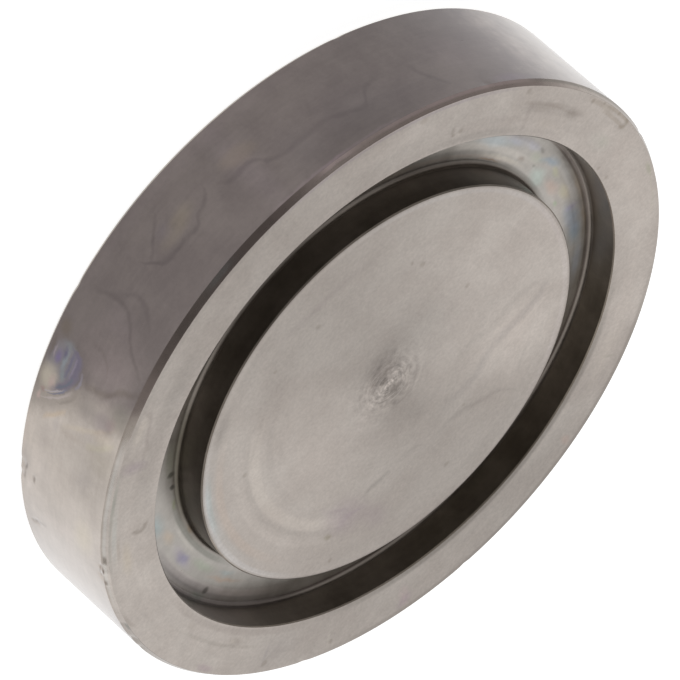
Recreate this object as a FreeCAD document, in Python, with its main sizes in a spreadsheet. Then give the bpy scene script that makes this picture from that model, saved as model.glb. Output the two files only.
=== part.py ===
import FreeCAD, Part
import Sketcher
import os

# Hydraulic blind flange: a steel disc that closes a flanged port, turned in one piece.
# The front is a sealing face. A square seal groove in it leaves a flat ring outside,
# the land, and a round plateau inside, which is flush with the land.
# The back is flat, and a pair of clamp halves holds the disc by its rim.
# The disc lies on its back face: the origin is the centre of that face, and +Z points
# out of the sealing face. All sizes are in millimetres.

sizes = {
    # Disc
    "flange_diameter": 54.0,
    "flange_thickness": 10.3,
    # Front rim chamfer, steeper than 45 degrees: its width on the face and height on the rim
    "front_chamfer_width": 0.3,
    "front_chamfer_height": 0.5,
    # Back rim chamfer, 45 degrees
    "back_chamfer": 0.3,
    # Seal groove: the land that it leaves outside, then its own width, depth and corners
    "land_width": 4.775,
    "groove_width": 4.325,
    "groove_depth": 2.8,
    "groove_root_radius": 0.4,
    "groove_mouth_chamfer": 0.1,
    # Shallow cone that the facing tool leaves on the axis
    "centre_mark_diameter": 1.0,
    "centre_mark_depth": 0.08,
}

# Radii from the axis and heights above the back face, worked out from the sizes
axis = "0"
back_face = "0"
rim = "Sizes.flange_diameter / 2"
groove_outer_wall = f"{rim} - Sizes.land_width"
groove_inner_wall = f"{groove_outer_wall} - Sizes.groove_width"
sealing_face = "Sizes.flange_thickness"
groove_floor = f"{sealing_face} - Sizes.groove_depth"

full_turn = 360
coincidence = 1e-6


def add_sizes(document):
    """List each size under its own name, for the expressions to use."""
    sheet = document.addObject("Spreadsheet::Sheet", "Sizes")
    for row, (name, value) in enumerate(sizes.items(), start=1):
        sheet.set(f"A{row}", name)
        sheet.set(f"B{row}", str(value))
        sheet.setAlias(f"B{row}", name)
    document.recompute()


def place_corner(sketch, line, direction, value, expression):
    """Hold the start of a line at a distance from the origin, or on the axis or back face."""
    origin_axis = {"DistanceX": -2, "DistanceY": -1}[direction]
    origin_point = (-1, 1)
    start = (line, 1)
    if expression == "0":
        sketch.addConstraint(Sketcher.Constraint("PointOnObject", *start, origin_axis))
        return
    index = sketch.addConstraint(Sketcher.Constraint(direction, *origin_point, *start, value))
    name = f"{direction}{line}"
    sketch.renameConstraint(index, name)
    sketch.setExpression(f"Constraints.{name}", expression)


def half_section(body, name, corners):
    """Draw a closed outline in the plane through the axis, with X as radius and Y as height.

    Each corner is a pair of expressions: its radius and its height.
    """
    plane = next(feature for feature in body.Origin.OriginFeatures if feature.Role == "XZ_Plane")
    sketch = body.newObject("Sketcher::SketchObject", name)
    sketch.AttachmentSupport = [(plane, "")]
    sketch.MapMode = "FlatFace"

    points = [
        FreeCAD.Vector(sketch.evalExpression(radius), sketch.evalExpression(height), 0)
        for radius, height in corners
    ]
    for line, point in enumerate(points):
        following = points[(line + 1) % len(points)]
        sketch.addGeometry(Part.LineSegment(point, following), False)
    for line in range(len(points)):
        sketch.addConstraint(Sketcher.Constraint("Coincident", line, 2, (line + 1) % len(points), 1))
    for line, (radius, height) in enumerate(corners):
        place_corner(sketch, line, "DistanceX", points[line].x, radius)
        place_corner(sketch, line, "DistanceY", points[line].y, height)
    return sketch


def turn(body, kind, name, corners):
    """Add or cut what a half section sweeps in a full turn about the axis."""
    sketch = half_section(body, f"{name}Section", corners)
    feature = body.newObject(kind, name)
    feature.Profile = sketch
    feature.ReferenceAxis = (sketch, ["V_Axis"])
    feature.Angle = full_turn
    body.Document.recompute()
    return feature


def circles(feature, places):
    """Name the feature's circular edges about the axis at these radii and heights."""
    wanted = [(feature.evalExpression(radius), feature.evalExpression(height)) for radius, height in places]
    names = []
    for number, edge in enumerate(feature.Shape.Edges, start=1):
        if edge.Curve.TypeId != "Part::GeomCircle":
            continue
        found = (edge.Curve.Radius, edge.Curve.Center.z)
        if any(max(abs(a - b) for a, b in zip(found, place)) < coincidence for place in wanted):
            names.append(f"Edge{number}")
    return names


def dress_edges(body, kind, name, base, places, size_property, size):
    """Round or bevel the base feature's circular edges at these places."""
    feature = body.newObject(kind, name)
    feature.Base = (base, circles(base, places))
    feature.setExpression(size_property, size)
    body.Document.recompute()
    return feature


def check_removed(before, after):
    """Stop if a cut took nothing off."""
    if after.Shape.Volume >= before.Shape.Volume:
        raise RuntimeError(f"{after.Name} removed nothing from {before.Name}")


def make_blind_flange(document):
    """Turn the disc, cut its seal groove, dress the groove's corners and mark the centre."""
    body = document.addObject("PartDesign::Body", "BlindFlange")
    body.Label = "blind_flange"

    blank = turn(body, "PartDesign::Revolution", "Blank", [
        (axis, back_face),
        (f"{rim} - Sizes.back_chamfer", back_face),
        (rim, "Sizes.back_chamfer"),
        (rim, f"{sealing_face} - Sizes.front_chamfer_height"),
        (f"{rim} - Sizes.front_chamfer_width", sealing_face),
        (axis, sealing_face),
    ])
    groove = turn(body, "PartDesign::Groove", "SealGroove", [
        (groove_inner_wall, groove_floor),
        (groove_outer_wall, groove_floor),
        (groove_outer_wall, sealing_face),
        (groove_inner_wall, sealing_face),
    ])
    check_removed(blank, groove)

    roots = dress_edges(
        body, "PartDesign::Fillet", "GrooveRoots", groove,
        [(groove_inner_wall, groove_floor), (groove_outer_wall, groove_floor)],
        "Radius", "Sizes.groove_root_radius",
    )
    mouth = dress_edges(
        body, "PartDesign::Chamfer", "GrooveMouth", roots,
        [(groove_inner_wall, sealing_face), (groove_outer_wall, sealing_face)],
        "Size", "Sizes.groove_mouth_chamfer",
    )
    check_removed(roots, mouth)

    centre_mark = turn(body, "PartDesign::Groove", "CentreMark", [
        (axis, f"{sealing_face} - Sizes.centre_mark_depth"),
        ("Sizes.centre_mark_diameter / 2", sealing_face),
        (axis, sealing_face),
    ])
    check_removed(mouth, centre_mark)
    return body


def check(document, bodies):
    """Stop unless every object came out without a fault and every body has a sound solid."""
    document.recompute()
    for item in document.Objects:
        faults = {"Invalid", "Error"} & set(item.State)
        if faults:
            raise RuntimeError(f"{item.Name} is {', '.join(sorted(faults))}")
    for body in bodies:
        if body.Shape.isNull() or not body.Shape.isValid():
            raise RuntimeError(f"{body.Label} has no sound shape")


def main():
    document = FreeCAD.newDocument("BlindFlange")
    add_sizes(document)
    bodies = [make_blind_flange(document)]
    check(document, bodies)

    os.makedirs("parts", exist_ok=True)
    for body in bodies:
        body.Shape.exportStep(f"parts/{body.Label}.step")
        box = body.Shape.BoundBox
        print(
            f"{body.Label}: {box.XLength:.3f} x {box.YLength:.3f} x {box.ZLength:.3f} mm,"
            f" volume {body.Shape.Volume:.1f} mm3"
        )


main()
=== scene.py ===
import math
import bpy
import numpy as np
from mathutils import Matrix, Vector


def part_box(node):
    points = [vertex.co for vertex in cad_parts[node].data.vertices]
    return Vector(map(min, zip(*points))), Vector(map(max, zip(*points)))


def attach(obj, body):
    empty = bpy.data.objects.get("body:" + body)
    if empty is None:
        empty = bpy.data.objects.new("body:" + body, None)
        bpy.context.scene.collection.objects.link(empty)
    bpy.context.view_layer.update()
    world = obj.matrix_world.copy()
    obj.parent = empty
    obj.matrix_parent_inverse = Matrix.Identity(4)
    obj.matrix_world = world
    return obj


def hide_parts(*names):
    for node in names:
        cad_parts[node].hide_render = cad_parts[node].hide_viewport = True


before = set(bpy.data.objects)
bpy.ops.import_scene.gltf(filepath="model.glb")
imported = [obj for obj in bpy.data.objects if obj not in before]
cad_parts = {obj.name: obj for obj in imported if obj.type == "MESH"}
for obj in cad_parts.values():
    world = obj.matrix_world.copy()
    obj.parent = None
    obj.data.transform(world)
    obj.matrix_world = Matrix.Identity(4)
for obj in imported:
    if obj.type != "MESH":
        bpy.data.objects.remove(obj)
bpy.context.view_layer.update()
print("frame loaded")

mm = 0.001
discNode = "blind_flange"
lowCorner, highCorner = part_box(discNode)
rimRadius = (highCorner.x - lowCorner.x) / 2 / mm
faceHeight = highCorner.z / mm

# Everywhere below, azimuth is in degrees round the axis: 0 faces the camera (-Y) and 90 is +X.
# The disc, in millimetres. Its radius and thickness come from the frame.
discShape = {
    "frontChamferWidth": 0.3,     # on the face
    "frontChamferHeight": 0.5,    # on the rim
    "backChamfer": 0.3,
    "landWidth": 4.775,
    "grooveWidth": 4.325,
    "grooveDepth": 2.8,
    "rootRadius": 0.4,
    "mouthChamfer": 0.1,
    "centreMarkRadius": 0.5,
    "centreMarkDepth": 0.08,
    "centreMarkRounding": 1.2,
    "edgeRadius": 0.035,          # what deburring leaves on each sharp corner

    # How finely it is meshed, and where: steps round it are closer together in the crowded stretch
    "stepsRound": 700,
    "crowded": (58, 26),          # azimuth of its middle, and half its width
    "crowding": 1.0,              # how many more steps it has there than elsewhere, as a share
    "humpPower": 4,               # the higher, the more evenly crowded the stretch is
    "gather": 0.45,               # how much the steps across a run draw together at its ends

    # The front chamfer was turned by hand and isn't quite even: its size swings by these shares
    "swings": [(1, 0.05, 40), (2, 0.04, 200), (5, 0.03, 10), (11, 0.02, 95)],   # times round, share, peak
    "blendAcross": 0.9,           # the width in which the swing dies out on the land and the side

    # Handling nicks: azimuth, radius, height, size, depth, and the tilt of the blow. A tilt of 0 comes
    # straight at the rim, 90 straight down on the face and -90 straight up at the back.
    "nicks": [
        (63.2, 27.0, 9.75, 0.22, 0.10, 35),
        (65.6, 27.0, 9.70, 0.30, 0.12, 30),
        (68.4, 26.9, 9.95, 0.18, 0.06, 50),
        (58.5, 26.8, 10.2, 0.35, 0.04, 60),
        (52.0, 26.7, 10.3, 0.45, 0.04, 65),
        (79.0, 26.9, 9.95, 0.25, 0.07, 45),
        (84.5, 26.9, 9.90, 0.35, 0.09, 40),
        (88.0, 27.0, 9.75, 0.22, 0.06, 30),
        (67.4, 27.0, 1.75, 0.22, 0.07, 0),
        (68.0, 27.0, 1.25, 0.18, 0.05, 0),
        (56.6, 27.0, 1.85, 0.22, 0.04, 0),
        (55.2, 27.0, 0.45, 0.30, 0.10, -30),
        (57.6, 26.9, 0.30, 0.25, 0.08, -45),
        (-21.0, 26.9, 10.0, 0.45, 0.04, 45),
        (-52.0, 27.0, 9.75, 0.25, 0.05, 30),
        (21.0, 26.9, 0.20, 0.30, 0.07, -45),
        (-38.0, 26.9, 0.20, 0.25, 0.06, -45),
        (131.0, 26.9, 9.95, 0.30, 0.09, 45),
        (166.0, 26.8, 10.1, 0.22, 0.07, 55),
        (203.0, 27.0, 5.40, 0.30, 0.05, 0),
        (229.0, 26.9, 0.20, 0.35, 0.09, -45),
        (262.0, 26.9, 9.95, 0.28, 0.08, 45),
        (148.0, 26.9, 0.25, 0.25, 0.07, -40),
        (60.5, 26.1, 10.3, 0.16, 0.02, 90),
        (34.0, 24.0, 10.3, 0.18, 0.015, 90),
        (-112.0, 25.2, 10.3, 0.20, 0.02, 90),
    ],
}


# The corners of the half section, from the middle of the front, over the rim, to the middle of the back:
# radius, height, rounding, steps round the corner, then the zone and steps of the run that follows
def sectionCorners():
    s = discShape
    face, rim, edge = faceHeight, rimRadius, s["edgeRadius"]
    outerWall = rim - s["landWidth"]
    innerWall = outerWall - s["grooveWidth"]
    floor = face - s["grooveDepth"]
    mouth, root = s["mouthChamfer"], s["rootRadius"]
    return [
        (0, face - s["centreMarkDepth"], 0, 0, "mark", 4),
        (s["centreMarkRadius"], face, s["centreMarkRounding"], 4, "face", 15),
        (innerWall - mouth, face, edge, 2, "mouth", 1),
        (innerWall, face - mouth, edge, 2, "wall", 5),
        (innerWall, floor, root, 7, "floor", 8),
        (outerWall, floor, root, 7, "wall", 5),
        (outerWall, face - mouth, edge, 2, "mouth", 1),
        (outerWall + mouth, face, edge, 2, "land", 15),
        (rim - s["frontChamferWidth"], face, edge, 2, "chamfer", 3),
        (rim, face - s["frontChamferHeight"], edge, 2, "side", 30),
        (rim, s["backChamfer"], edge, 2, "back", 2),
        (rim - s["backChamfer"], 0, edge, 2, "back", 9),
        (0, 0, 0, 0, "back", 0),
    ]


# The outward normal of a run is its heading turned a quarter turn to the left
def normalOf(heading):
    return np.stack([-np.sin(heading), np.cos(heading)], axis=-1)


# The half section as points, normals and zones. Each corner is a circle's arc that touches both of its
# runs: it starts before the corner by its radius times the tangent of half the turn.
def halfSection():
    corners = sectionCorners()
    places = np.array([corner[:2] for corner in corners], dtype=float)
    runs = np.diff(places, axis=0)
    heading = np.unwrap(np.arctan2(runs[:, 1], runs[:, 0]))
    forward = runs / np.linalg.norm(runs, axis=1)[:, None]
    points, normals, zones = [], [], []
    leaving = places[0]
    for index, (_, _, _, _, zone, steps) in enumerate(corners[:-1]):
        lastRun = index == len(corners) - 2
        rounding, arcSteps = (0, 0) if lastRun else corners[index + 1][2:4]
        turn = 0 if lastRun else heading[index + 1] - heading[index]
        arriving = places[index + 1] - forward[index] * rounding * math.tan(abs(turn) / 2)
        share = np.arange(1, steps) / steps
        share = share - discShape["gather"] * np.sin(2 * np.pi * share) / (2 * np.pi)
        points.append(leaving + share[:, None] * (arriving - leaving))
        normals.append(np.repeat(normalOf(heading[index])[None, :], len(share), axis=0))
        zones += [zone] * len(share)
        if lastRun:
            break
        side = -np.sign(turn)
        middle = arriving - side * rounding * normalOf(heading[index])
        arcHeading = heading[index] + turn * np.linspace(0, 1, arcSteps + 1)
        arc = middle + side * rounding * normalOf(arcHeading)
        points.append(arc)
        normals.append(normalOf(arcHeading))
        nextZone = corners[index + 1][4]
        arcZone = "root" if rounding == discShape["rootRadius"] else nextZone
        zones += [arcZone] * arcSteps + [nextZone]
        leaving = arc[-1]
    return np.concatenate(points), np.concatenate(normals), zones


# Azimuths in degrees, from -180 up. Their density is 1, and rises by the crowding in a smooth hump.
def stepAzimuths():
    middle, reach = discShape["crowded"]
    fine = np.linspace(-180, 180, 3601)   # every tenth of a degree
    density = 1 + discShape["crowding"] * np.exp(-((fine - middle) / reach) ** discShape["humpPower"])
    total = np.concatenate([[0], np.cumsum((density[1:] + density[:-1]) / 2)])
    wanted = np.linspace(0, total[-1], discShape["stepsRound"], endpoint=False)
    return np.interp(wanted, total, fine)


# How much larger the front chamfer is at an azimuth: a sum of cosines of whole multiples of it
def chamferSwing(azimuth):
    swing = 0
    for times, share, peak in discShape["swings"]:
        swing = swing + share * np.cos(np.radians(times * (azimuth - peak)))
    return swing


# The shares, point by point along the section, of the chamfer's swing that move a point inward and
# downward: the corner on the face moves in, the corner on the rim moves down, and both die out on the
# flats beyond
def chamferShares(points):
    s, blend = discShape, discShape["blendAcross"]
    along = np.concatenate([[0], np.cumsum(np.linalg.norm(np.diff(points, axis=0), axis=1))])
    faceCorner = np.array([rimRadius - s["frontChamferWidth"], faceHeight])
    rimCorner = np.array([rimRadius, faceHeight - s["frontChamferHeight"]])
    top = along[np.argmin(np.linalg.norm(points - faceCorner, axis=1))]
    low = along[np.argmin(np.linalg.norm(points - rimCorner, axis=1))]
    edge = 2 * s["edgeRadius"]
    inward = np.interp(along, [top - blend, top - edge, top + edge, low - edge], [0, 1, 1, 0])
    downward = np.interp(along, [top + edge, low - edge, low + edge, low + blend], [0, 1, 1, 0])
    return inward, downward


# Pushes every nick into the surface: a point moves along the blow by the depth times a bell curve of its
# distance from the middle. The normal loses the slope of that push, as for any sheared surface.
def addNicks(vertices, normals):
    for azimuth, radius, height, size, depth, tilt in discShape["nicks"]:
        turn, lean = math.radians(azimuth), math.radians(tilt)
        outward = np.array([math.sin(turn), -math.cos(turn), 0])
        middle = outward * radius + np.array([0, 0, height])
        blow = -math.cos(lean) * outward - math.sin(lean) * np.array([0, 0, 1])
        offset = vertices - middle
        push = depth * np.exp(-np.sum(offset ** 2, axis=1) / (2 * size ** 2))
        slope = -push[:, None] * offset / size ** 2
        shear = 1 + slope @ blow
        normals = normals - slope * ((normals @ blow) / shear)[:, None]
        vertices = vertices + push[:, None] * blow
    return vertices, normals / np.linalg.norm(normals, axis=1)[:, None]


# The order of the finishes on the disc, and the finish of each zone of its section
finishOrder = [
    "plateauSteel", "landSteel", "groovedSteel", "wallSteel", "chamferSteel", "rimSteel", "backSteel",
]
finishOfZone = {
    "mark": "plateauSteel", "face": "plateauSteel", "land": "landSteel",
    "mouth": "wallSteel", "wall": "wallSteel", "root": "groovedSteel", "floor": "groovedSteel",
    "chamfer": "chamferSteel", "side": "rimSteel", "back": "backSteel",
}


# The disc: each point of the section goes round the axis. A point at radius r, height z and azimuth a
# lies at x = r sin a, y = -r cos a. Both ends close on a pole.
def makeDisc():
    points, pointNormals, zones = halfSection()
    inward, downward = chamferShares(points)
    azimuth = stepAzimuths()
    rings, steps = len(points), len(azimuth)
    swing = chamferSwing(azimuth)[None, :]
    radius = points[:, 0:1] - inward[:, None] * discShape["frontChamferWidth"] * swing
    height = points[:, 1:2] - downward[:, None] * discShape["frontChamferHeight"] * swing
    sine, cosine = np.sin(np.radians(azimuth)), np.cos(np.radians(azimuth))
    grid = np.stack([radius * sine, -radius * cosine, height], axis=2).reshape(-1, 3)
    across, upward = pointNormals[:, 0:1], pointNormals[:, 1:2]
    gridNormals = np.stack([across * sine, -across * cosine, upward + 0 * sine], axis=2).reshape(-1, 3)
    grid, gridNormals = addNicks(grid, gridNormals)
    poles = np.array([[0, 0, faceHeight - discShape["centreMarkDepth"]], [0, 0, 0]])
    vertices = np.concatenate([grid, poles]) * mm
    vertexNormals = np.concatenate([gridNormals, [[0, 0, 1], [0, 0, -1]]])
    frontPole, backPole = len(grid), len(grid) + 1

    ring = np.arange(rings - 1)[:, None]
    step = np.arange(steps)[None, :]
    following = (step + 1) % steps
    quads = np.stack([
        ring * steps + step, (ring + 1) * steps + step,
        (ring + 1) * steps + following, ring * steps + following,
    ], axis=2).reshape(-1, 4)
    step, following = step[0], following[0]
    frontFan = np.stack([np.full(steps, frontPole), step, following], axis=1)
    last = (rings - 1) * steps
    backFan = np.stack([np.full(steps, backPole), last + following, last + step], axis=1)

    mesh = bpy.data.meshes.new("blindFlange")
    mesh.from_pydata(vertices.tolist(), [], quads.tolist() + frontFan.tolist() + backFan.tolist())
    finishIndex = np.array([finishOrder.index(finishOfZone[zone]) for zone in zones])
    faceFinish = np.concatenate([
        np.repeat(finishIndex[:-1], steps),
        np.full(steps, finishIndex[0]),
        np.full(steps, finishIndex[-1]),
    ])
    mesh.polygons.foreach_set("material_index", faceFinish.astype(np.int32))
    mesh.shade_smooth()
    mesh.normals_split_custom_set_from_vertices(vertexNormals.tolist())
    mesh.update()
    disc = bpy.data.objects.new("blindFlange", mesh)
    bpy.context.scene.collection.objects.link(disc)
    print("disc has", 2 * len(quads) + 2 * steps, "triangles")
    return disc


# Adds a shader node with its settings, and gives each input a value or a link
def add(tree, kind, inputs=None, **settings):
    node = tree.nodes.new("ShaderNode" + kind)
    for name, value in settings.items():
        setattr(node, name, value)
    for socket, value in (inputs or {}).items():
        if isinstance(value, bpy.types.NodeSocket):
            tree.links.new(value, node.inputs[socket])
        else:
            node.inputs[socket].default_value = value
    return node


# One step of arithmetic
def maths(tree, operation, first, second=0.0, third=0.0):
    return add(tree, "Math", {0: first, 1: second, 2: third}, operation=operation).outputs[0]


# Goes smoothly from one value to another while its input goes from low to high
def eased(tree, value, low, high, atLow=0.0, atHigh=1.0):
    sockets = {"Value": value, "From Min": low, "From Max": high, "To Min": atLow, "To Max": atHigh}
    return add(tree, "MapRange", sockets, interpolation_type="SMOOTHSTEP").outputs["Result"]


# Goes smoothly from 1 down to 0 while its input goes from low to high
def faded(tree, value, low, high):
    return eased(tree, value, low, high, 1.0, 0.0)


# Noise in space, or along one measure alone when it is given a number
def noise(tree, place, scale, detail, roughness, alongOne=False):
    sockets = {"Scale": scale, "Detail": detail, "Roughness": roughness}
    sockets["W" if alongOne else "Vector"] = place
    return add(tree, "TexNoise", sockets, noise_dimensions="1D" if alongOne else "3D").outputs[0]


# The same noise about its middle value, from about -0.5 to 0.5
def centredNoise(tree, place, scale, detail, roughness, alongOne=False):
    return maths(tree, "SUBTRACT", noise(tree, place, scale, detail, roughness, alongOne), 0.5)


# Mixes two colours, or multiplies the first by the second. A colour given as one number is a grey.
def mixColour(tree, share, first, second, blend="MIX"):
    node = add(tree, "Mix", data_type="RGBA", blend_type=blend)
    for index, value in ((0, share), (6, first), (7, second)):
        if isinstance(value, bpy.types.NodeSocket):
            tree.links.new(value, node.inputs[index])
        elif index == 0:
            node.inputs[index].default_value = value
        else:
            levels = value if isinstance(value, tuple) else (value, value, value)
            node.inputs[index].default_value = (*levels, 1)
    return node.outputs[2]


# A colour as a picture shows it, 0 to 255, turned into the linear shares that Blender works in
def tone(*shown):
    share = np.array(shown) / 255
    linear = np.where(share <= 0.04045, share / 12.92, ((share + 0.055) / 1.055) ** 2.4)
    return tuple(float(level) for level in linear)


# Where a point lies on the disc, in millimetres and degrees. The azimuth's tangent is x over -y.
def placeOnDisc(tree):
    coordinates = add(tree, "TexCoord").outputs["Object"]
    position = add(tree, "VectorMath", {0: coordinates, "Scale": 1 / mm}, operation="SCALE").outputs[0]
    x, y, z = add(tree, "SeparateXYZ", {0: position}).outputs
    radius = maths(tree, "SQRT", maths(tree, "MULTIPLY_ADD", x, x, maths(tree, "MULTIPLY", y, y)))
    azimuth = maths(tree, "DEGREES", maths(tree, "ARCTAN2", x, maths(tree, "MULTIPLY", y, -1.0)))
    flat = add(tree, "VectorMath", {0: position, 1: (1, 1, 0)}, operation="MULTIPLY").outputs[0]
    return {"position": position, "flat": flat, "radius": radius, "azimuth": azimuth, "height": z}


# Shifts a place on a flat map by noise, so that what is drawn on it wanders as a real stain does
def wandering(tree, place, position, scale, reach):
    cloud = add(tree, "TexNoise", {"Vector": position, "Scale": scale, "Detail": 1.0}).outputs["Color"]
    centred = add(tree, "VectorMath", {0: cloud, 1: (0.5, 0.5, 0.5)}, operation="SUBTRACT").outputs[0]
    spread = (2 * reach, 2 * reach, 0)
    shift = add(tree, "VectorMath", {0: centred, 1: spread}, operation="MULTIPLY").outputs[0]
    return add(tree, "VectorMath", {0: place, 1: shift}, operation="ADD").outputs[0]


# A smooth curve through a few points, given as places and heights, read at a value. The node works from
# 0 to 1, so places and heights are brought to that range and the answer is brought back.
def readCurve(tree, value, places, heights):
    first, span = places[0], places[-1] - places[0]
    low, rise = min(heights), max(max(heights) - min(heights), 0.001)   # a flat curve still has a range
    share = maths(tree, "MULTIPLY_ADD", value, 1 / span, -first / span)
    node = add(tree, "FloatCurve", {"Value": share})
    node.mapping.extend = "HORIZONTAL"
    curve = node.mapping.curves[0]
    for index, (at, height) in enumerate(zip(places, heights)):
        spot = ((at - first) / span, (height - low) / rise)
        if index < 2:
            curve.points[index].location = spot
        else:
            curve.points.new(*spot)
    node.mapping.update()
    return maths(tree, "MULTIPLY_ADD", node.outputs[0], rise, low)


# Draws soft lines over a colour. A line's points are the place along, the place across and the strength
# there. It runs along the first or the second measure of the map, and shows by how near the other one
# is to its curve.
def drawLines(tree, colour, place, lines, blend="MULTIPLY"):
    first, second, _ = add(tree, "SeparateXYZ", {0: place}).outputs
    for way, points, width, tint in lines:
        along, across = (first, second) if way == "first" else (second, first)
        places = [point[0] for point in points]
        curve = readCurve(tree, along, places, [point[1] for point in points])
        strength = readCurve(tree, along, places, [point[2] for point in points])
        distance = maths(tree, "ABSOLUTE", maths(tree, "SUBTRACT", across, curve))
        share = faded(tree, distance, 0.0, width)
        colour = mixColour(tree, maths(tree, "MULTIPLY", share, strength), colour, tint, blend)
    return colour


# Lays oval spots over a colour: each is its middle, half sizes, turn in degrees, softness and tint
def drawSpots(tree, colour, place, spots, blend="MULTIPLY"):
    for middle, size, turn, softness, tint in spots:
        sockets = {
            "Vector": place, "Location": (*middle, 0),
            "Rotation": (0, 0, math.radians(turn)), "Scale": (*size, 1),
        }
        local = add(tree, "Mapping", sockets, vector_type="TEXTURE").outputs[0]
        reach = add(tree, "VectorMath", {0: local}, operation="LENGTH").outputs["Value"]
        share = faded(tree, reach, 1 - softness, 1.0)
        colour = mixColour(tree, share, colour, tint, blend)
    return colour


# Draws hooks, which are parts of small rings: each is its middle, radius, half width, the heading in
# degrees of its strongest side, how many degrees it reaches to either side of that, and tint. It fades
# with the cosine.
def drawHooks(tree, colour, place, hooks):
    for middle, radius, width, heading, reaches, tint in hooks:
        offset = add(tree, "VectorMath", {0: place, 1: (*middle, 0)}, operation="SUBTRACT").outputs[0]
        reach = add(tree, "VectorMath", {0: offset}, operation="LENGTH").outputs["Value"]
        strongest = (math.cos(math.radians(heading)) / radius, math.sin(math.radians(heading)) / radius, 0)
        side = add(tree, "VectorMath", {0: offset, 1: strongest}, operation="DOT_PRODUCT").outputs["Value"]
        off = maths(tree, "ABSOLUTE", maths(tree, "SUBTRACT", reach, radius))
        ends = math.cos(math.radians(reaches))
        across = faded(tree, off, 0.0, width)
        along = eased(tree, side, ends, 0.5 + 0.5 * ends)
        colour = mixColour(tree, maths(tree, "MULTIPLY", across, along), colour, tint, "MULTIPLY")
    return colour


# What every finish shares. Noise is given as detail and roughness, after its scale where that is shared.
everyFinish = {
    "grain": (3.2, 2.0, 0.8),
    "mottle": (5.0, 0.62),
    "mottleSpan": 0.2,            # the mottle, either way, from the dull tone to the bare one
    "streaks": (1.0, 3.0, 0.6),
    "markRoughness": 0.7,         # of the turning marks' noise
    "feed": (2.0, 0.6),
    "markCore": 0.3,              # the share of an arc's or a speck's half width that is solid
}


# Draws small round specks of one tint: each is its place and radius. The nearest one counts.
def drawSpecks(tree, colour, place, specks, tint):
    nearest = None
    for x, y, radius in specks:
        distance = add(tree, "VectorMath", {0: place, 1: (x, y, 0)}, operation="DISTANCE").outputs["Value"]
        share = maths(tree, "MULTIPLY", distance, 1 / radius)
        nearest = share if nearest is None else maths(tree, "MINIMUM", nearest, share)
    share = faded(tree, nearest, everyFinish["markCore"], 1.0)
    return mixColour(tree, share, colour, tint, "MULTIPLY")


# 1 within a stretch of azimuth and 0 outside. The azimuth is wrapped about the stretch's middle.
def stretch(tree, azimuth, middle, half, softness):
    offset = maths(tree, "WRAP", maths(tree, "SUBTRACT", azimuth, middle), 180.0, -180.0)
    return faded(tree, maths(tree, "ABSOLUTE", offset), half - softness, half + softness)


# Lays parts of rings over a colour: each is radius, half width, azimuth, half stretch, softness and tint
def drawArcs(tree, colour, place, arcs):
    for radius, width, middle, half, softness, tint in arcs:
        off = maths(tree, "ABSOLUTE", maths(tree, "SUBTRACT", place["radius"], radius))
        across = faded(tree, off, everyFinish["markCore"] * width, width)
        share = maths(tree, "MULTIPLY", across, stretch(tree, place["azimuth"], middle, half, softness))
        colour = mixColour(tree, share, colour, tint, "MULTIPLY")
    return colour


# A metal with its shine drawn out across the turning marks. Its tangent goes round the axis and is turned
# by a quarter, because marks that run round the axis spread light across themselves.
def newFinish(name, look):
    print("making", name)
    material = bpy.data.materials.new(name)
    material.use_nodes = True
    tree = material.node_tree
    shader = tree.nodes["Principled BSDF"]
    shader.inputs["Metallic"].default_value = 1
    shader.inputs["Anisotropic"].default_value = look["anisotropy"]
    shader.inputs["Anisotropic Rotation"].default_value = 0.25
    shader.inputs["Coat Weight"].default_value = look["oil"]
    shader.inputs["Coat Roughness"].default_value = look["oilRoughness"]
    shader.inputs["Specular Tint"].default_value = (*look["edgeTint"], 1)
    tangent = add(tree, "Tangent", direction_type="RADIAL", axis="Z")
    tree.links.new(tangent.outputs[0], shader.inputs["Tangent"])
    return material, tree, shader


# Turning marks: noise along one measure, so that it runs in rings, from broad bands down to fine lines
def turningMarks(tree, measure, look):
    kind = (look["markScale"], look["markDetail"], everyFinish["markRoughness"])
    return centredNoise(tree, measure, *kind, alongOne=True)


# Streaks that run round the axis in broken rings. Noise in space is read where the heading round the axis
# makes a circle of a set size and the measure across is scaled, so that it has no seam.
def streaks(tree, place, measure, circle, scale):
    heading = add(tree, "VectorMath", {0: place["flat"]}, operation="NORMALIZE").outputs[0]
    x, y, _ = add(tree, "SeparateXYZ", {0: heading}).outputs
    across = maths(tree, "MULTIPLY", place[measure], scale)
    spot = {0: maths(tree, "MULTIPLY", x, circle), 1: maths(tree, "MULTIPLY", y, circle), 2: across}
    return centredNoise(tree, add(tree, "CombineXYZ", spot).outputs[0], *everyFinish["streaks"])


# Clouds from the size of a thumb down to grains, as the mottle of handled steel
def mottling(tree, position, look):
    return centredNoise(tree, position, look["mottleScale"], *everyFinish["mottle"])


# Brightens or darkens a colour by a signed amount
def shaded(tree, colour, amount):
    level = maths(tree, "ADD", amount, 1.0)
    return add(tree, "VectorMath", {0: colour, "Scale": level}, operation="SCALE").outputs[0]


# Brightens or darkens a colour by a pattern times its strength
def patterned(tree, colour, pattern, strength):
    return shaded(tree, colour, maths(tree, "MULTIPLY", pattern, strength))


# A colour between two tones, by the mottle
def mottled(tree, mottle, dull, clean):
    span = everyFinish["mottleSpan"]
    return mixColour(tree, eased(tree, mottle, -span, span), dull, clean)


# Steel between its dull and its bare tone, with the turning marks over it
def markedSteel(tree, look, mottle, marks):
    return patterned(tree, mottled(tree, mottle, look["dull"], look["bare"]), marks, look["markTone"])


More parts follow.
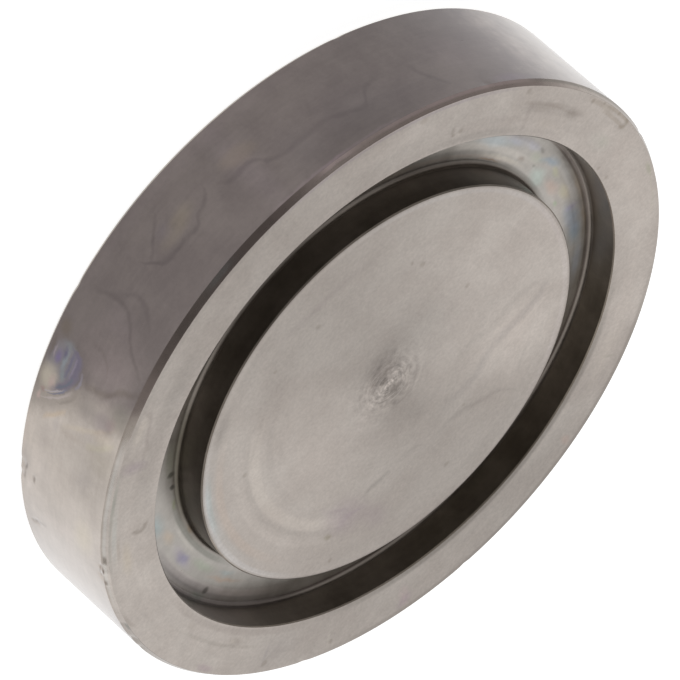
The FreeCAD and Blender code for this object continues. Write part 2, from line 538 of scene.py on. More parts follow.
# Sets the shader's colour, with fine grain over it, roughness and bump. Mottle and marks shift the
# roughness, and height is in millimetres.
def dress(tree, place, shader, look, colour, mottle, marks, height):
    grain = centredNoise(tree, place["position"], *everyFinish["grain"])
    colour = patterned(tree, colour, grain, look["grainTone"])
    roughness = maths(tree, "MULTIPLY_ADD", mottle, look["roughnessSwing"], look["roughness"])
    roughness = maths(tree, "MULTIPLY_ADD", marks, look["markRoughness"], roughness)
    bump = add(tree, "Bump", {"Strength": 1.0, "Distance": mm, "Height": height})
    tree.links.new(colour, shader.inputs["Base Color"])
    tree.links.new(roughness, shader.inputs["Roughness"])
    tree.links.new(bump.outputs[0], shader.inputs["Normal"])


# The height of shallow feed marks along a measure, in millimetres
def feedMarks(tree, measure, look):
    line = noise(tree, measure, look["feedScale"], *everyFinish["feed"], alongOne=True)
    return maths(tree, "MULTIPLY", line, look["feedHeight"])


# The sealing face and the plateau: fine facing marks, soft tide lines of dried oil, smudges and specks.
# Places on it are x and y in millimetres.
facedSteelLook = {
    "bare": tone(187, 179, 172),
    "dull": tone(174, 165, 158),
    "grainTone": 0.32,
    "streakTone": 0.11, "streakCircle": 3.5, "streakScale": 1.5,
    "anisotropy": 0.8, "oil": 0.0, "oilRoughness": 0.2, "edgeTint": (1, 1, 1),
    "roughness": 0.40, "roughnessSwing": 0.10,
    "mottleScale": 0.16,
    "handling": (0.8, 3.0, 0.6),  # noise of the smaller mottle: scale, detail and roughness
    "landMottle": 0.20, "plateauMottle": 0.12,
    "wander": (0.9, 0.18),        # scale of the noise that shifts the marks, and how far in millimetres
    "markScale": 0.35, "markDetail": 5.0, "markTone": 0.13, "markRoughness": 0.12,
    "feedScale": 1.6, "feedHeight": 0.004,
    "centreRingPitch": 0.75, "centreRingHeight": 0.003,
    "centreLinePitch": 0.25, "centreLineHeight": 0.0015,
    "centreTonePitch": 0.495, "centreToneStrength": 0.14,   # rings of lighter and darker colour round the middle
    "centreEnds": (0.3, 3.1),     # radii between which the rings die out
    "patches": (1.4, 1.0, 0.5),   # noise of the patches where rings show
    "patchEnds": (0.42, 0.62),
    "brokenCircle": 2.2, "brokenScale": 2.6, "brokenTone": 1.35,   # broken rings round the middle
    "blotches": (1.7, 2.0, 0.7), "blotchTone": 0.9,     # and blotches among them
    "brokenEnds": (0.8, 4.6),     # radii between which both die out
    "wideSpot": 8,                # a spot with a longer half size lies on both sides of the groove
    "lines": [   # which measure it runs along; place along, place across and strength; half width; tint
        ("first", [(-6.2, 14.6, 0), (-5.7, 13.3, 0.8), (-5.1, 12.4, 1), (-3.9, 11.7, 1), (-2.1, 10.5, 1),
                   (-1.3, 10.2, 0.8), (0.3, 9.9, 0)], 0.59, 0.90),
        ("first", [(-14.2, 6.9, 0), (-13.3, 7.4, 0.7), (-12.7, 7.8, 1), (-10.6, 7.8, 1), (-8.6, 7.6, 1),
                   (-7.0, 7.6, 0.7), (-5.7, 8.2, 0.9), (-3.9, 8.6, 0.8), (-1.7, 8.2, 0.4), (0.5, 8.3, 0)],
         0.80, (0.89, 0.89, 0.90)),
        ("first", [(-14.2, 7.3, 0), (-12.1, 8.4, 1), (-9.6, 8.7, 0.8), (-7.3, 8.7, 0.8), (-5.5, 9.2, 0)],
         0.53, 1.04),
        ("first", [(-13.3, 6.5, 0), (-12.6, 5.9, 0.9), (-10.7, 5.5, 1), (-8.1, 5.6, 0.7), (-6.8, 4.9, 1),
                   (-5.3, 5.0, 0.9), (-4.3, 5.7, 0.4), (-3.4, 6.2, 0)], 0.64, 0.93),
        ("first", [(-10.6, 6.3, 0), (-9.0, 6.7, 1), (-7.2, 6.3, 1), (-5.6, 6.3, 0)], 0.53, 1.03),
        ("first", [(-9.6, 10.9, 0), (-8.8, 11.4, 1), (-7.9, 12.1, 1), (-6.6, 12.9, 0)], 0.43, 0.94),
        ("first", [(1.6, 9.6, 0), (2.4, 8.9, 1), (3.6, 8.5, 0.7), (4.6, 8.3, 0)], 0.48, 0.92),
        ("first", [(4.8, 8.5, 0), (5.6, 8.3, 1), (6.7, 8.1, 1), (7.6, 8.0, 0)], 0.45, 0.84),
        ("first", [(8.0, 9.2, 0), (8.8, 8.6, 1), (9.6, 8.2, 1), (10.9, 8.7, 0)],
         0.48, (0.95, 0.94, 0.97)),
        ("second", [(4.6, 10.3, 0), (5.6, 10.3, 1), (6.6, 9.7, 1), (7.6, 9.0, 0)],
         0.48, (0.95, 0.94, 0.96)),
        ("first", [(-6.6, -12.9, 0), (-4.0, -13.9, 0.7), (0.1, -14.6, 1), (2.2, -15.0, 0.6),
                   (4.0, -15.8, 0)], 0.64, (0.93, 0.92, 0.93)),
        ("first", [(6.8, -11.6, 0), (8.0, -10.0, 0.8), (10.0, -8.2, 1), (11.8, -6.3, 0)], 0.48, 0.95),
        ("first", [(-25.0, -4.6, 0), (-24.3, -5.4, 0.8), (-23.5, -8.4, 1), (-22.7, -9.9, 0.9),
                   (-22.2, -10.6, 0)], 1.01, (0.91, 0.90, 0.89)),
        ("first", [(-22.6, -10.9, 0), (-21.9, -10.6, 1), (-21.3, -10.2, 1), (-20.6, -9.8, 0)],
         0.59, (0.89, 0.88, 0.88)),
        ("second", [(2.0, 23.9, 0), (4.4, 23.6, 1), (6.6, 23.2, 1), (9.6, 21.5, 0)], 0.37, 0.95),
        ("first", [(-25.4, 7.4, 0), (-24.6, 9.0, 1), (-23.8, 10.8, 0.8), (-22.9, 12.0, 0)],
         0.37, (0.97, 0.98, 0.95)),
        ("second", [(-21.6, 13.2, 0), (-20.0, 13.7, 1), (-18.6, 14.4, 0.6), (-17.5, 15.0, 0)],
         0.64, 1.02),
        ("second", [(-22.8, 13.2, 0), (-21.7, 13.3, 1), (-20.4, 14.3, 1), (-19.2, 15.3, 0.8),
                    (-18.4, 16.2, 0)], 0.42, (0.89, 0.88, 0.88)),
    ],
    "hooks": [   # middle, radius, half width, heading of the strongest side, reach to either side, tint
        ((19.95, -12.85), 0.50, 0.44, 75, 110, (0.76, 0.75, 0.73)),
        ((-26.35, 0.25), 0.46, 0.32, 90, 125, (0.77, 0.75, 0.71)),
        ((0.0, 0.0), 1.90, 0.28, 28, 32, 1.12),
        ((0.1, 0.0), 1.95, 0.30, -30, 26, 1.13),
        ((0.0, 0.1), 2.05, 0.24, -96, 20, 1.14),
        ((0.0, 0.0), 1.80, 0.20, 232, 24, 1.13),
        ((0.1, 0.0), 1.85, 0.24, 155, 22, 1.12),
        ((0.1, 0.0), 1.90, 0.30, 68, 20, 1.17),
        ((0.0, 0.0), 1.15, 0.16, 182, 34, 1.16),
        ((0.0, 0.0), 2.70, 0.24, 200, 26, 1.08),
        ((0.0, 0.0), 3.20, 0.26, 128, 22, 1.07),
    ],
    "spots": [   # middle, half sizes, turn in degrees, softness, tint
        ((9.6, 8.0), (2.6, 3.2), 20, 0.95, (0.93, 0.90, 0.96)),
        ((8.1, 11.0), (1.6, 2.6), 0, 0.95, (0.95, 0.93, 0.97)),
        ((11.7, 8.1), (0.5, 0.7), 20, 0.9, (0.82, 0.82, 0.74)),
        ((-7.5, 7.0), (6.2, 0.8), 2, 0.9, 1.04),
        ((0.1, 5.4), (1.4, 2.4), 0, 0.95, 0.92),
        ((-1.4, -3.0), (3.4, 1.5), 8, 0.95, 0.93),
        ((-0.3, -1.7), (2.4, 2.6), 0, 0.95, (0.84, 0.83, 0.83)),
        # Among the broad soft spots below, those that brighten the face towards azimuths of about 80 and
        # 230 are painted sheen of the turning marks
        ((-19.0, 6.0), (12.0, 16.0), 0, 1.0, 1.05),
        ((0.0, 0.0), (10.0, 10.0), 0, 1.0, 0.94),
        ((-0.3, 0.2), (6.4, 6.4), 0, 1.0, 0.91),
        ((-1.9, -0.9), (1.3, 1.2), 0, 1.0, 0.86),
        ((-8.4, 9.9), (6.5, 5.5), 45, 1.0, 1.10),
        ((7.9, -1.0), (3.4, 5.0), 0, 1.0, 1.06),
        ((10.9, -13.0), (3.0, 1.0), 40, 1.0, 0.80),
        ((-13.2, 20.4), (4.0, 1.6), 33, 1.0, (1.13, 1.13, 1.12)),
        ((-24.0, -0.4), (1.2, 2.2), 0, 1.0, (0.97, 0.99, 0.98)),
        ((-25.2, 7.4), (0.35, 1.2), -16, 0.9, (0.86, 0.90, 0.82)),
        ((16.0, 14.0), (14.0, 10.0), -40, 1.0, 0.96),
        ((-10.2, 9.2), (7.5, 5.4), -40, 1.0, 1.10),
        ((-4.8, -1.8), (6.0, 5.5), 0, 1.0, 0.85),
        ((5.5, -12.0), (5.0, 3.5), 20, 1.0, 0.93),
        ((-16.8, 18.4), (5.0, 3.2), -45, 1.0, 1.10),
        ((10.0, -22.5), (4.0, 3.0), 20, 1.0, 0.93),
        ((20.8, 13.6), (2.6, 3.2), 30, 1.0, (0.91, 0.91, 0.92)),
        ((14.6, -21.3), (2.0, 0.8), 34, 0.8, (1.07, 1.07, 1.05)),
        ((16.9, -18.8), (1.8, 0.95), -48, 0.9, (0.87, 0.84, 0.90)),
        ((22.4, -11.2), (2.6, 0.7), 63, 0.9, (1.01, 0.99, 0.93)),
        ((23.4, 2.0), (0.5, 0.9), 0, 0.9, (0.90, 0.89, 0.88)),
        ((22.1, 8.3), (0.6, 1.1), 20, 0.9, (0.89, 0.88, 0.87)),
        ((22.3, 7.9), (0.3, 0.5), 20, 0.9, (1.08, 1.08, 1.06)),
        ((21.5, 12.7), (1.6, 0.28), 30, 0.9, (0.91, 0.91, 0.93)),
        ((17.5, 18.1), (1.5, 0.28), 46, 0.9, (1.07, 1.08, 1.07)),
        ((11.3, 22.3), (1.6, 0.8), 63, 0.9, (1.03, 0.97, 1.01)),
        ((-12.9, 21.4), (1.3, 0.22), 121, 0.9, (0.91, 0.92, 0.90)),
        ((26.0, -5.2), (0.3, 1.9), 0, 0.8, (0.88, 0.87, 0.86)),
        ((11.6, 22.8), (1.2, 0.8), 0, 0.8, (0.93, 0.90, 0.95)),
        ((25.2, 7.4), (0.5, 1.5), 10, 0.8, (0.88, 0.83, 0.88)),
        ((-5.9, 24.9), (0.5, 0.9), 0, 0.8, (1.02, 0.94, 0.92)),
        ((-24.1, -6.0), (0.75, 1.3), 14, 0.9, (0.86, 0.85, 0.84)),
        ((-22.2, -7.6), (0.55, 1.9), 19, 0.8, (1.04, 1.04, 1.03)),
        ((-19.3, -13.5), (0.90, 4.0), 35, 0.5, (0.93, 0.92, 0.92)),
        ((-17.0, -16.6), (0.80, 0.24), 44, 0.8, (0.84, 0.83, 0.82)),
        ((-24.3, 0.1), (0.8, 0.9), 0, 0.9, (0.96, 0.98, 0.96)),
        ((-16.1, -20.6), (0.35, 0.6), 52, 0.8, (0.88, 0.86, 0.84)),
        # These four: painted shade on the shaded sides of the centre mark
        ((-0.1, 1.0), (0.85, 0.72), 0, 0.9, (0.76, 0.75, 0.74)),
        ((0.1, -0.7), (0.55, 0.45), 0, 0.9, (0.74, 0.73, 0.72)),
        ((-0.4, -1.4), (0.70, 0.34), 0, 0.9, (0.80, 0.79, 0.78)),
        ((0.7, -1.4), (0.60, 0.30), 0, 0.9, (0.83, 0.82, 0.81)),
        ((0.7, 2.35), (0.40, 0.35), 0, 0.9, 0.86),
        ((-2.1, -2.5), (0.80, 0.50), 40, 0.9, 0.86),
        ((-0.3, -2.4), (0.60, 0.35), 0, 0.9, 0.86),
        ((-1.9, 1.6), (0.30, 0.60), 20, 0.9, 0.88),
        ((1.5, 1.7), (0.30, 0.60), 20, 0.9, 0.90),
        ((2.2, 0.4), (0.35, 0.40), 0, 0.9, 1.14),
        # Painted highlight on the lit side of the centre mark
        ((-0.02, 0.10), (0.62, 0.30), 0, 0.8, 1.45),
    ],
    "specks": [   # x, y, radius
        (-8.3, -7.6, 0.38), (-9.5, -0.9, 0.35), (0.3, -12.6, 0.36), (4.8, -13.0, 0.30),
        (12.1, -6.6, 0.34), (1.6, 14.0, 0.38), (13.0, 10.6, 0.30), (17.6, 18.6, 0.40),
        (22.1, 13.4, 0.45), (-17.4, -15.9, 0.40), (-16.8, -16.2, 0.25), (-2.6, 10.1, 0.25),
        (20.4, 17.2, 0.28), (-23.1, -12.5, 0.40), (-25.8, -4.9, 0.34), (-26.4, -3.4, 0.28),
        (-26.6, -1.0, 0.28), (-22.5, 3.7, 0.28), (-22.6, 2.0, 0.26), (-7.9, -8.8, 0.25),
    ],
    "speckTint": (0.84, 0.83, 0.81),
    "arcs": [   # radius, half width, azimuth, half stretch, softness, tint
        (12.9, 0.75, 88, 40, 16, (1.10, 1.10, 1.09)),
        (13.7, 0.40, 88, 36, 16, 0.94),
        (14.6, 0.45, 92, 34, 16, 1.06),
        (11.4, 0.50, 70, 30, 14, 0.95),
        (16.2, 0.50, 76, 24, 14, (1.05, 1.01, 0.98)),
        (17.0, 0.40, 74, 22, 14, (1.00, 1.03, 1.05)),
        (16.5, 0.90, 22, 10, 8, 0.94),
        (16.5, 1.00, 190, 14, 8, 0.96),
        # These six: painted reflection, pale and bluish, along the plateau's edge
        (17.50, 0.36, 80, 30, 12, (1.10, 1.15, 1.20)),
        (17.25, 0.40, 66, 10, 6, (0.95, 1.04, 1.07)),
        (17.72, 0.26, 99, 16, 8, 1.06),
        (17.45, 0.30, -58, 34, 14, (1.04, 1.06, 1.09)),
        (17.35, 0.32, 238, 34, 14, (1.06, 1.06, 1.08)),
        (17.40, 0.28, -8, 30, 12, 1.05),
        (17.80, 0.22, 180, 200, 1, 0.84),
        (22.50, 0.52, 182, 40, 20, (0.68, 0.68, 0.67)),
        (22.75, 0.45, 104, 20, 8, (0.90, 0.89, 0.89)),
        (22.75, 0.45, 307, 12, 6, 0.87),
        (22.90, 0.55, 217, 12, 8, 1.04),
        (26.45, 0.35, 18, 24, 10, 0.94),
        # The next three arcs, across the whole land, are painted sheen: lighter towards azimuths 238 and
        # 65, darker towards 182
        (24.80, 2.00, 238, 30, 12, 1.08),
        (24.60, 2.00, 65, 12, 6, 1.05),
        (24.80, 2.20, 182, 12, 8, 0.95),
        (25.20, 1.20, 328, 10, 6, 1.09),
        (24.8, 0.80, 289, 7.5, 3, 0.93),
        (26.55, 0.40, 184, 42, 12, (0.81, 0.81, 0.80)),
        (23.8, 1.30, 36, 16, 10, 0.91),
        (24.1, 0.22, 106, 11, 4, (0.93, 0.93, 0.92)),
        (25.15, 0.28, 292.5, 5.5, 2, (0.91, 0.90, 0.89)),
        (26.05, 0.24, 272.5, 4.0, 2.0, (0.87, 0.85, 0.82)),
        (26.62, 0.24, 272, 4.0, 2.0, (0.86, 0.84, 0.80)),
        (26.40, 0.32, 277.5, 3.5, 2, (0.86, 0.84, 0.81)),
        (26.15, 0.34, 56, 5, 5, (1.02, 1.08, 1.09)),
        (26.52, 0.28, 48.5, 3.5, 4, (0.80, 0.85, 0.83)),
        (26.56, 0.16, 58, 6, 5, (0.88, 0.90, 0.89)),
        (25.75, 0.20, 60.5, 2.5, 2, (0.90, 0.89, 0.87)),
        (26.5, 0.20, -32, 24, 10, (0.90, 0.88, 0.94)),
    ],
}


# Rings round the middle: the cosine of the radius, a full turn for each pitch, dying out between two
# radii
def centreRings(tree, radius, pitch, look):
    ripple = maths(tree, "COSINE", maths(tree, "MULTIPLY", radius, 2 * math.pi / pitch))
    return maths(tree, "MULTIPLY", ripple, faded(tree, radius, *look["centreEnds"]))


# How far from the axis a mark lies
def reachOf(kind, mark):
    if kind == "arcs":
        return mark[0]
    if kind == "lines":
        return math.hypot(*mark[1][1][:2])
    return math.hypot(*mark[:2]) if kind == "specks" else math.hypot(*mark[0])


# The marks that lie inside the groove, or those outside it. Wide spots lie on both sides.
def marksOn(look, kind, inside):
    middle = rimRadius - discShape["landWidth"] - discShape["grooveWidth"] / 2
    kept = []
    for mark in look[kind]:
        wide = kind == "spots" and max(mark[1]) > look["wideSpot"]
        if wide or (reachOf(kind, mark) < middle) == inside:
            kept.append(mark)
    return kept


# The plateau's finish when inside is true, and the land's when it isn't: one look, with the marks of each
def makeFacedSteel(name, inside):
    look = facedSteelLook
    material, tree, shader = newFinish(name, look)
    place = placeOnDisc(tree)
    position, radius = place["position"], place["radius"]
    wandered = wandering(tree, place["flat"], position, *look["wander"])
    marks = turningMarks(tree, radius, look)
    mottle = mottling(tree, position, look)
    colour = markedSteel(tree, look, mottle, marks)
    handling = centredNoise(tree, position, *look["handling"])
    colour = patterned(tree, colour, handling, look["plateauMottle" if inside else "landMottle"])
    streaked = streaks(tree, place, "radius", look["streakCircle"], look["streakScale"])
    colour = patterned(tree, colour, streaked, look["streakTone"])
    height = feedMarks(tree, radius, look)
    if inside:
        uneven = add(tree, "VectorMath", {0: wandered}, operation="LENGTH").outputs["Value"]
        rings = centreRings(tree, uneven, look["centreTonePitch"], look)
        lines = centreRings(tree, uneven, look["centreLinePitch"], look)
        ringTone = maths(tree, "MULTIPLY", maths(tree, "ADD", rings, lines), look["centreToneStrength"])
        patchy = eased(tree, noise(tree, position, *look["patches"]), *look["patchEnds"])
        colour = patterned(tree, colour, ringTone, patchy)
        broken = streaks(tree, place, "radius", look["brokenCircle"], look["brokenScale"])
        broken = maths(tree, "MULTIPLY", broken, look["brokenTone"])
        blotches = centredNoise(tree, position, *look["blotches"])
        broken = maths(tree, "MULTIPLY_ADD", blotches, look["blotchTone"], broken)
        fading = faded(tree, radius, *look["brokenEnds"])
        colour = patterned(tree, colour, broken, fading)
        slow = maths(tree, "MULTIPLY", centreRings(tree, uneven, look["centreRingPitch"], look), patchy)
        height = maths(tree, "MULTIPLY_ADD", slow, -look["centreRingHeight"], height)
        height = maths(tree, "MULTIPLY_ADD", lines, look["centreLineHeight"], height)
    colour = drawArcs(tree, colour, place, marksOn(look, "arcs", inside))
    colour = drawSpots(tree, colour, wandered, marksOn(look, "spots", inside))
    colour = drawHooks(tree, colour, wandered, marksOn(look, "hooks", inside))
    colour = drawLines(tree, colour, wandered, marksOn(look, "lines", inside))
    colour = drawSpecks(tree, colour, wandered, marksOn(look, "specks", inside), look["speckTint"])
    dress(tree, place, shader, look, colour, mottle, marks, height)
    return material


# The groove's floor and roots: tempering tints in drifts of blue, green and tan, and dark specks of
# dried oil. Places on it are azimuth in degrees and radius in millimetres.
groovedSteelLook = {
    "bare": tone(182, 177, 171),
    "dull": tone(166, 161, 155),
    "grainTone": 0.12,
    # Painted shade in the roots, which dims the fillets' highlight
    "rootShadeTint": (0.50, 0.465, 0.44),
    "rootShadeEnds": (0.12, 0.60),     # distances from a wall between which the painted shade in the roots thins out
    "anisotropy": 0.6, "oil": 0.0, "oilRoughness": 0.2, "edgeTint": (1, 1, 1),
    "roughness": 0.32, "roughnessSwing": 0.12,
    "mottleScale": 0.5,
    "wander": (0.9, 0.26),
    "markScale": 0.8, "markDetail": 3.0, "markTone": 0.16, "markRoughness": 0.12,
    "feedScale": 1.6, "feedHeight": 0.004,
    "middleRadius": 20.0,         # where a degree is measured in millimetres
    "spots": [   # azimuth and radius, half sizes in millimetres, turn, softness, tint
        ((290, 20.1), (3.2, 0.80), 0, 0.9, (0.96, 1.08, 1.18)),
        ((283, 20.5), (1.7, 0.65), 5, 0.9, (1.00, 1.05, 1.20)),
        ((277, 20.7), (1.7, 0.55), 5, 0.9, (1.02, 1.05, 1.18)),
        ((267.5, 19.1), (1.8, 0.95), 0, 0.8, (1.02, 1.18, 1.17)),
        ((273, 20.1), (1.4, 0.65), 0, 0.9, (1.06, 1.12, 1.05)),
        ((267, 20.75), (1.35, 0.70), -12, 1.0, (0.74, 0.86, 1.00)),
        ((269.5, 20.4), (1.1, 0.45), -20, 1.0, (0.86, 0.96, 1.06)),
        ((273, 20.8), (0.55, 0.28), 0, 0.9, (0.74, 0.75, 0.74)),
        ((277.6, 19.35), (0.60, 0.38), 0, 0.9, (0.80, 0.76, 0.74)),
        ((284, 18.85), (4.6, 0.34), 0, 0.9, (1.20, 1.18, 1.13)),
        ((289, 18.45), (2.4, 0.16), 0, 0.9, (0.90, 0.76, 0.66)),
        ((260.5, 19.55), (1.9, 0.75), -6, 0.95, (1.14, 1.00, 0.95)),
        ((263.5, 20.4), (1.0, 0.40), 0, 0.9, (1.02, 1.06, 0.90)),
        ((255.5, 20.3), (1.4, 0.65), -8, 0.9, (1.12, 1.11, 0.96)),
        ((254.2, 19.25), (0.50, 0.32), 0, 0.9, (0.86, 1.00, 0.84)),
        ((254.0, 19.5), (2.4, 0.42), 0, 1.0, (0.88, 0.87, 0.87)),
        ((246, 20.4), (2.6, 1.10), -5, 0.95, (0.80, 0.92, 1.10)),
        ((240.5, 20.6), (1.6, 0.85), 0, 0.9, (0.86, 1.00, 1.14)),
        ((249.5, 20.6), (0.55, 0.80), 0, 0.9, (0.92, 0.88, 1.05)),
        ((243, 21.65), (2.4, 0.34), 0, 1.0, (1.06, 0.98, 0.88)),
        ((254, 21.6), (2.6, 0.32), 0, 1.0, (1.04, 0.98, 0.90)),
        ((232, 21.1), (2.5, 0.85), 0, 0.9, (1.05, 1.12, 1.25)),
        ((264, 21.7), (1.9, 0.34), 0, 0.8, (0.74, 0.72, 0.72)),
        ((305, 21.3), (3.2, 0.70), 0, 0.9, (1.06, 1.03, 1.00)),
        ((71.0, 20.6), (1.7, 1.3), 0, 0.95, (0.89, 1.04, 1.11)),
        ((77.5, 19.9), (1.4, 0.65), 0, 0.9, (1.10, 1.01, 0.92)),
        ((87.6, 20.0), (1.35, 0.72), 5, 0.95, (0.75, 0.77, 0.92)),
        ((87.0, 20.0), (2.5, 0.75), 5, 0.9, (0.94, 0.91, 1.04)),
        ((96.0, 19.5), (2.3, 0.65), 0, 0.9, (0.96, 1.06, 0.97)),
        ((106.0, 20.05), (2.9, 0.32), -3, 0.95, (1.05, 0.92, 0.84)),
        ((105.5, 19.4), (1.3, 0.34), -5, 0.9, (0.92, 1.03, 1.08)),
        ((100.5, 21.9), (1.4, 0.50), 0, 0.9, (0.74, 0.82, 0.78)),
        ((68.5, 18.55), (1.0, 0.28), 0, 0.9, (0.84, 0.90, 0.72)),
        ((80.5, 18.1), (1.1, 0.28), 0, 0.9, (0.90, 0.82, 0.70)),
        ((53.0, 18.7), (3.1, 0.75), 0, 0.9, (0.84, 0.88, 0.80)),
        ((49.0, 20.3), (5.5, 1.2), 0, 1.0, (0.84, 0.84, 0.83)),
        ((98.0, 19.7), (5.0, 0.9), 0, 1.0, (0.88, 0.88, 0.87)),
        ((271.6, 19.45), (0.32, 0.24), 0, 0.9, (0.74, 0.76, 0.74)),
    ],
    "arcs": [   # radius, half width, azimuth, half stretch, softness, tint
        (21.75, 0.70, 103, 20, 10, (0.80, 0.78, 0.80)),
        (21.05, 0.50, 103, 20, 10, (1.20, 1.16, 1.18)),
        (21.20, 0.55, 92, 12, 6, (0.73, 0.73, 0.74)),
        (18.95, 0.28, 82, 6, 4, (1.13, 1.13, 1.12)),
        (18.35, 0.34, 274, 14, 8, (0.66, 0.66, 0.65)),
        (19.50, 0.45, 290, 16, 5, (1.16, 1.15, 1.14)),
        (21.00, 1.00, 236, 8, 3, (1.26, 1.29, 1.32)),
        (20.95, 0.34, 286, 10, 6, (0.87, 0.86, 0.88)),
        (20.65, 0.55, 261, 9, 4, (1.10, 1.09, 1.08)),
        # Painted shade over the outer root's highlight
        (22.10, 0.30, 104, 30, 10, (0.48, 0.47, 0.48)),
        (21.00, 0.45, 243, 22, 8, (1.18, 1.22, 1.26)),
        (20.20, 2.20, 251, 7, 5, (1.26, 1.25, 1.25)),
        # These two: painted shade over the outer root's highlight and beside it
        (21.76, 0.14, 250, 24, 8, (0.70, 0.66, 0.64)),
        (21.96, 0.13, 212, 86, 8, (0.60, 0.56, 0.55)),
        (18.20, 0.42, 66, 24, 8, (0.80, 0.79, 0.76)),
        (18.08, 0.30, 56, 18, 6, (0.72, 0.73, 0.69)),
        (18.60, 0.34, 86, 15, 6, (0.66, 0.68, 0.66)),
        (18.15, 0.28, 303, 20, 8, (0.52, 0.51, 0.50)),
        (18.62, 0.26, 303, 20, 8, (1.10, 1.06, 1.04)),
    ],
    "specks": [(102.4, 21.3, 0.48), (57.8, 18.55, 0.52), (62.2, 18.5, 0.40)],
    "speckTint": (0.40, 0.40, 0.38),
}


# Spots and specks on a map of the groove, which is distance round at its middle radius, and radius, both
# in millimetres. Arcs come next, and painted shade in the roots by the distance from the nearer wall.
def paintGroove(tree, place, look, colour):
    radius = place["radius"]
    wrapped = maths(tree, "WRAP", place["azimuth"], 360.0, 0.0)
    degree = math.radians(look["middleRadius"])
    around = maths(tree, "MULTIPLY", wrapped, degree)
    unrolled = add(tree, "CombineXYZ", {0: around, 1: radius, 2: 0.0}).outputs[0]
    wandered = wandering(tree, unrolled, place["position"], *look["wander"])
    spots = [((azimuth * degree, out), *spot) for (azimuth, out), *spot in look["spots"]]
    specks = [(azimuth * degree, out, size) for azimuth, out, size in look["specks"]]
    colour = drawSpots(tree, colour, wandered, spots)
    colour = drawSpecks(tree, colour, wandered, specks, look["speckTint"])
    colour = drawArcs(tree, colour, place, look["arcs"])
    outerWall = rimRadius - discShape["landWidth"]
    innerWall = outerWall - discShape["grooveWidth"]
    fromOuter = maths(tree, "SUBTRACT", outerWall, radius)
    fromInner = maths(tree, "SUBTRACT", radius, innerWall)
    fromWall = maths(tree, "MINIMUM", fromOuter, fromInner)
    # Painted shade in the roots
    onRoot = faded(tree, fromWall, *look["rootShadeEnds"])
    return mixColour(tree, onRoot, colour, look["rootShadeTint"], "MULTIPLY")


# The groove's walls: darker than the floor, as painted shade for the deep groove, with plunge marks that
# run round
wallSteelLook = {
    "bare": tone(122, 114, 106),
    "dull": tone(101, 94, 86),
    "grainTone": 0.10,
    "paintedShadeEnds": [],
    "arcs": [   # radius, half width, azimuth, half stretch, softness, tint
        # The next three arcs paint light and shade over the outer wall: lighter towards azimuth 192,
        # darker towards 114 and 256
        (22.2, 3.0, 114, 18, 14, (0.78, 0.76, 0.74)),
        (22.2, 3.0, 192, 40, 22, (1.26, 1.25, 1.20)),
        (22.2, 3.0, 256, 16, 10, (0.90, 0.86, 0.83)),
        # Thin lines at the plateau's edge: painted highlights towards azimuths 92 and 262, painted shade
        # towards 298
        (17.84, 0.10, 92, 16, 8, 2.3),
        (17.84, 0.10, 262, 12, 6, 2.1),
        (17.84, 0.10, 298, 16, 6, 0.60),
    ],
    "anisotropy": 0.3, "oil": 0.0, "oilRoughness": 0.2, "edgeTint": (1, 1, 1),
    "roughness": 0.36, "roughnessSwing": 0.10,
    "mottleScale": 0.3,
    "markScale": 1.2, "markDetail": 4.0, "markTone": 0.25, "markRoughness": 0.10,
    "feedScale": 3.0, "feedHeight": 0.002,
}


# The chamfer, part in the dark film, which is also painted shade, and part bright
chamferSteelLook = {
    "bare": tone(182, 174, 167),
    "dull": tone(168, 160, 153),
    "filmAndShade": tone(121, 110, 105),
    "filmAndShadeDull": tone(111, 101, 96),
    "between": tone(146, 137, 129),
    "grainTone": 0.10,
    "arcs": [   # radius, half width, azimuth, half stretch, softness, tint
        (27.0, 0.13, 54, 20, 6, (0.84, 0.82, 0.80)),
        (26.86, 0.12, 55, 16, 6, (1.06, 1.10, 1.12)),
        (26.96, 0.14, -44, 16, 8, (1.10, 1.06, 1.12)),
        (26.76, 0.16, -46, 20, 8, (0.78, 0.76, 0.76)),
        # The next three arcs: painted shade on the chamfer's dark band
        (26.97, 0.16, -77, 15, 6, (0.66, 0.68, 0.67)),
        (26.85, 0.25, -5, 8, 4, (0.80, 0.77, 0.77)),
        (26.85, 0.25, 19, 10, 5, (0.88, 0.86, 0.85)),
        (26.93, 0.13, -20.5, 3.0, 2.5, (1.50, 1.46, 1.55)),
        (26.90, 0.16, 4.5, 2.5, 2, (1.10, 1.22, 1.27)),
        (26.85, 0.12, 61.4, 0.9, 0.6, (0.50, 0.47, 0.44)),
        (26.97, 0.10, 64.8, 1.1, 0.7, (0.46, 0.43, 0.41)),
        (26.92, 0.10, 67.2, 0.5, 0.4, (0.60, 0.57, 0.55)),
        (26.74, 0.10, 80.0, 1.0, 0.8, (0.60, 0.64, 0.64)),
        (26.85, 0.60, 68, 10, 6, 1.05),
    ],
    # Painted shade where it turns away from the camera: azimuth, half stretch, softness and how much
    # darker
    "paintedShadeEnds": [(92, 14, 9, -0.36), (-94, 14, 9, -0.28)],
    "anisotropy": 0.3, "oil": 0.3, "oilRoughness": 0.15, "edgeTint": (0.84, 0.81, 0.79),
    "roughness": 0.28, "roughnessSwing": 0.10,
    "mottleScale": 0.4,
    "markScale": 3.0, "markDetail": 2.0, "markTone": 0.12, "markRoughness": 0.05,
    "feedScale": 3.0, "feedHeight": 0.0008,
}
